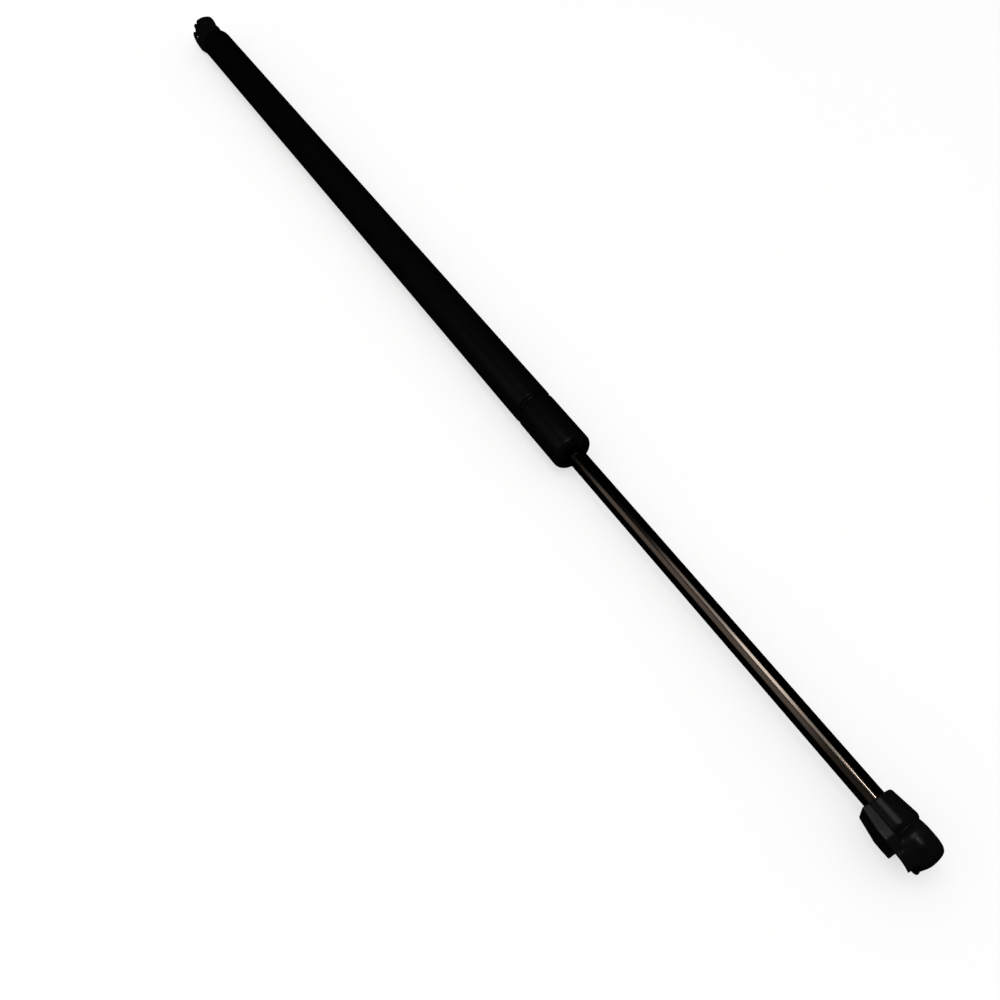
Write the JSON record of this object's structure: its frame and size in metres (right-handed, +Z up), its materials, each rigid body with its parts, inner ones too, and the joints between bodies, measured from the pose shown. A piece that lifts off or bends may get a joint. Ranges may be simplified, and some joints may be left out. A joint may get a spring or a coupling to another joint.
{
  "type": "gas strut stay",
  "caption": "Gas strut stay: black pressure tube with a rolled groove, sliding polished rod with piston and seals inside, and a moulded ball socket with wire clip at each end.",
  "frame": {"origin": "centre of the 10 mm ball that the cylinder-side socket holds", "axes": "+X along the strut from the cylinder-side ball to the rod-side ball, -Y out of the cylinder-side socket mouth, +Z up"},
  "size_m": [0.637, 0.0184, 0.0182],
  "materials": {
    "black_tube_paint": "gloss black stoving paint on a steel tube",
    "black_nitrided_steel": "polished, nitrided black",
    "black_nylon": "glass-filled nylon as moulded",
    "spring_steel": "drawn spring wire and strip",
    "zinc_plated_steel": "bright zinc plate",
    "plain_steel": "turned, lightly oiled",
    "sintered_steel": "pressed and sintered, steam-treated grey",
    "bronze": "turned bearing bronze",
    "natural_nylon": "natural nylon",
    "black_rubber": "moulded nitrile rubber"
  },
  "bodies": {
    "cylinder": {"cylinder_tube": "black_tube_paint", "end_plug": "zinc_plated_steel", "end_plug_o_ring": "black_rubber", "mounting_stud": "zinc_plated_steel", "cylinder_socket": "black_nylon", "closing_ring": "plain_steel", "rod_wiper": "black_rubber", "rod_guide": "bronze", "rod_seal": "black_rubber", "seal_washer": "zinc_plated_steel", "spacer_sleeve": "natural_nylon"},
    "piston_ring": {"piston_ring": "natural_nylon"},
    "rod": {"piston_rod": "black_nitrided_steel", "piston_front_washer": "zinc_plated_steel", "piston_valve_disc": "spring_steel", "piston": "sintered_steel", "piston_rear_washer": "zinc_plated_steel", "piston_nut": "zinc_plated_steel", "rod_socket": "black_nylon"},
    "cylinder_clip": {"cylinder_socket_clip": "spring_steel"},
    "rod_clip": {"rod_socket_clip": "spring_steel"}
  },
  "joints": [
    {"name": "rod_slide", "type": "slide", "parent": "cylinder", "child": "piston_ring", "axis": [-1, 0, 0], "range_m": [0, 0.17], "stiffness_N_per_m": 600, "springref_m": -0.5},
    {"name": "rod_spin", "type": "hinge", "parent": "piston_ring", "child": "rod", "pos_m": [0.3888, 0, 0], "axis": [1, 0, 0], "continuous": true},
    {"name": "cylinder_clip_release", "type": "slide", "parent": "cylinder", "child": "cylinder_clip", "axis": [-1, 0, 0], "range_m": [0, 0.0035]},
    {"name": "rod_clip_release", "type": "slide", "parent": "rod", "child": "rod_clip", "axis": [1, 0, 0], "range_m": [0, 0.0035]}
  ]
}
